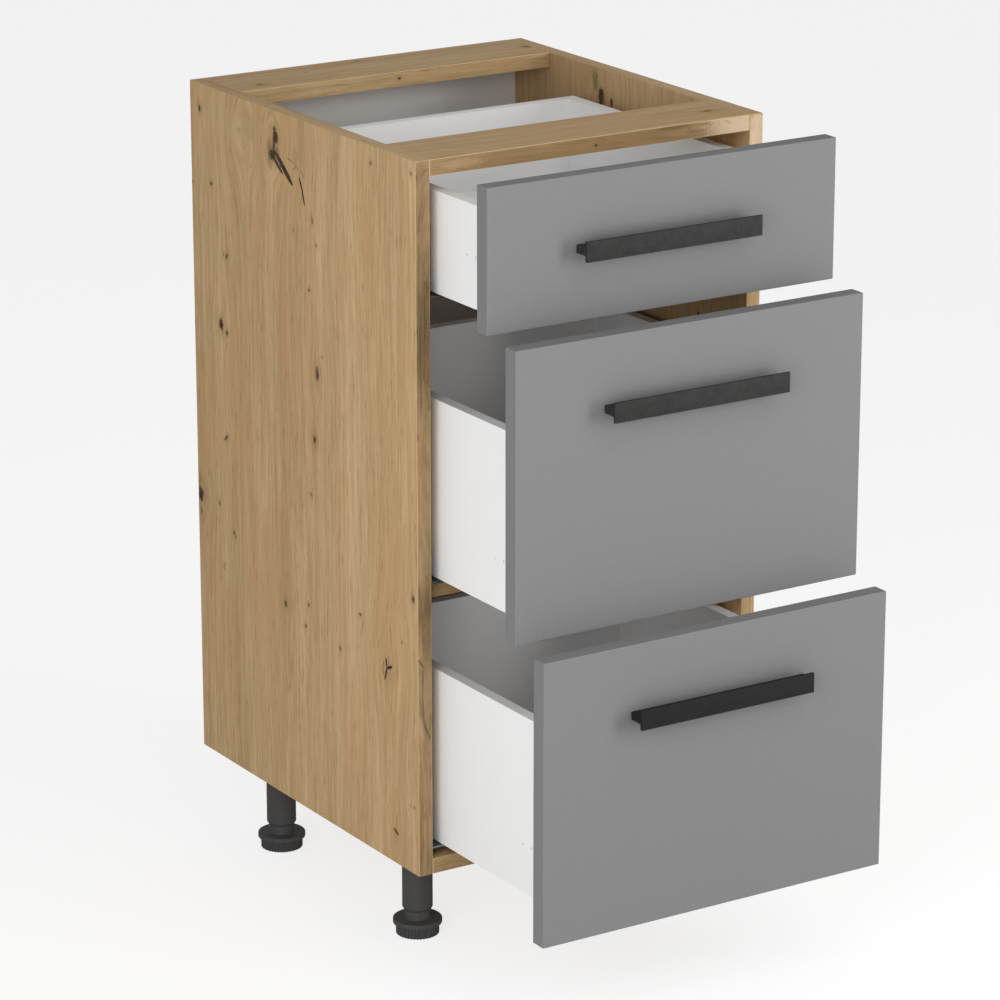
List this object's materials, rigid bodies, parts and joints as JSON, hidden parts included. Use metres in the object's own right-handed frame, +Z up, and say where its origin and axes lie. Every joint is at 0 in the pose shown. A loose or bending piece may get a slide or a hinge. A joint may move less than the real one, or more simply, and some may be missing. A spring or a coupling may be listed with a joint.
{
  "type": "base cabinet with drawers",
  "caption": "Narrow kitchen base cabinet in wood decor with grey-fronted drawers on under-mount runners, bar handles and black levelling legs, drawn with its drawers stepped open.",
  "frame": {"origin": "on the floor, under the middle of the whole outline at rest, drawers open", "axes": "+X to the right seen from the front, +Y from the front to the wall, +Z up"},
  "size_m": [0.4, 0.679, 0.82],
  "materials": {
    "oak_board": "matt knotty light oak decor, grain along each board",
    "white_board": "smooth white faced board",
    "white_thin_board": "white faced hardboard",
    "grey_front": "matt mid grey faced board",
    "handle_metal": "mottled dark grey",
    "zinc_steel": "zinc plated",
    "black_plastic": "moulded dark grey",
    "cage_plastic": "moulded off-white, with steel balls",
    "beech": "fluted beech, drawn plain"
  },
  "bodies": {
    "carcass": {"side_panel_left": "oak_board", "side_panel_right": "oak_board", "bottom_panel": "oak_board", "top_rail_front": "oak_board", "top_rail_back": "oak_board", "middle_rail": "oak_board", "back_panel": "white_thin_board", "carcass_dowels": "beech", "cam_fittings": "zinc_steel", "cabinet_rail_screws": "zinc_steel", "leg_body_front_left": "black_plastic", "leg_body_front_right": "black_plastic", "leg_body_back_left": "black_plastic", "leg_body_back_right": "black_plastic", "cabinet_rail_top_left": "zinc_steel", "cabinet_rail_top_right": "zinc_steel", "cabinet_rail_middle_left": "zinc_steel", "cabinet_rail_middle_right": "zinc_steel", "cabinet_rail_bottom_left": "zinc_steel", "cabinet_rail_bottom_right": "zinc_steel"},
    "top_drawer": {"drawer_front_top": "grey_front", "drawer_back_top": "white_board", "drawer_bottom_top": "white_thin_board", "drawer_dowels_top": "beech", "handle_top": "handle_metal", "handle_screws_top": "zinc_steel", "drawer_rail_screws_top": "zinc_steel", "drawer_side_top_left": "white_board", "drawer_side_top_right": "white_board", "drawer_rail_top_left": "zinc_steel", "drawer_rail_top_right": "zinc_steel"},
    "top_cages": {"ball_cages_top": "cage_plastic"},
    "middle_drawer": {"drawer_front_middle": "grey_front", "drawer_back_middle": "white_board", "drawer_bottom_middle": "white_thin_board", "drawer_dowels_middle": "beech", "handle_middle": "handle_metal", "handle_screws_middle": "zinc_steel", "drawer_rail_screws_middle": "zinc_steel", "drawer_side_middle_left": "white_board", "drawer_side_middle_right": "white_board", "drawer_rail_middle_left": "zinc_steel", "drawer_rail_middle_right": "zinc_steel"},
    "middle_cages": {"ball_cages_middle": "cage_plastic"},
    "bottom_drawer": {"drawer_front_bottom": "grey_front", "drawer_back_bottom": "white_board", "drawer_bottom_bottom": "white_thin_board", "drawer_dowels_bottom": "beech", "handle_bottom": "handle_metal", "handle_screws_bottom": "zinc_steel", "drawer_rail_screws_bottom": "zinc_steel", "drawer_side_bottom_left": "white_board", "drawer_side_bottom_right": "white_board", "drawer_rail_bottom_left": "zinc_steel", "drawer_rail_bottom_right": "zinc_steel"},
    "bottom_cages": {"ball_cages_bottom": "cage_plastic"},
    "front_left_foot": {"foot_front_left": "black_plastic"},
    "front_right_foot": {"foot_front_right": "black_plastic"},
    "back_left_foot": {"foot_back_left": "black_plastic"},
    "back_right_foot": {"foot_back_right": "black_plastic"}
  },
  "joints": [
    {"name": "top_drawer_slide", "type": "slide", "parent": "carcass", "child": "top_drawer", "axis": [0, -1, 0], "range_m": [-0.103, 0.197]},
    {"name": "top_cages_slide", "type": "slide", "parent": "carcass", "child": "top_cages", "axis": [0, -1, 0], "range_m": [-0.0515, 0.0985]},
    {"name": "middle_drawer_slide", "type": "slide", "parent": "carcass", "child": "middle_drawer", "axis": [0, -1, 0], "range_m": [-0.152, 0.148]},
    {"name": "middle_cages_slide", "type": "slide", "parent": "carcass", "child": "middle_cages", "axis": [0, -1, 0], "range_m": [-0.076, 0.074]},
    {"name": "bottom_drawer_slide", "type": "slide", "parent": "carcass", "child": "bottom_drawer", "axis": [0, -1, 0], "range_m": [-0.201, 0.099]},
    {"name": "bottom_cages_slide", "type": "slide", "parent": "carcass", "child": "bottom_cages", "axis": [0, -1, 0], "range_m": [-0.1005, 0.0495]},
    {"name": "front_left_foot_levelling", "type": "slide", "parent": "carcass", "child": "front_left_foot", "axis": [0, 0, -1], "range_m": [-0.009, 0.02]},
    {"name": "front_right_foot_levelling", "type": "slide", "parent": "carcass", "child": "front_right_foot", "axis": [0, 0, -1], "range_m": [-0.009, 0.02]},
    {"name": "back_left_foot_levelling", "type": "slide", "parent": "carcass", "child": "back_left_foot", "axis": [0, 0, -1], "range_m": [-0.009, 0.02]},
    {"name": "back_right_foot_levelling", "type": "slide", "parent": "carcass", "child": "back_right_foot", "axis": [0, 0, -1], "range_m": [-0.009, 0.02]}
  ],
  "couplings": [
    {"joint": "top_cages_slide", "follows": "top_drawer_slide", "ratio": 0.5},
    {"joint": "middle_cages_slide", "follows": "middle_drawer_slide", "ratio": 0.5},
    {"joint": "bottom_cages_slide", "follows": "bottom_drawer_slide", "ratio": 0.5}
  ]
}
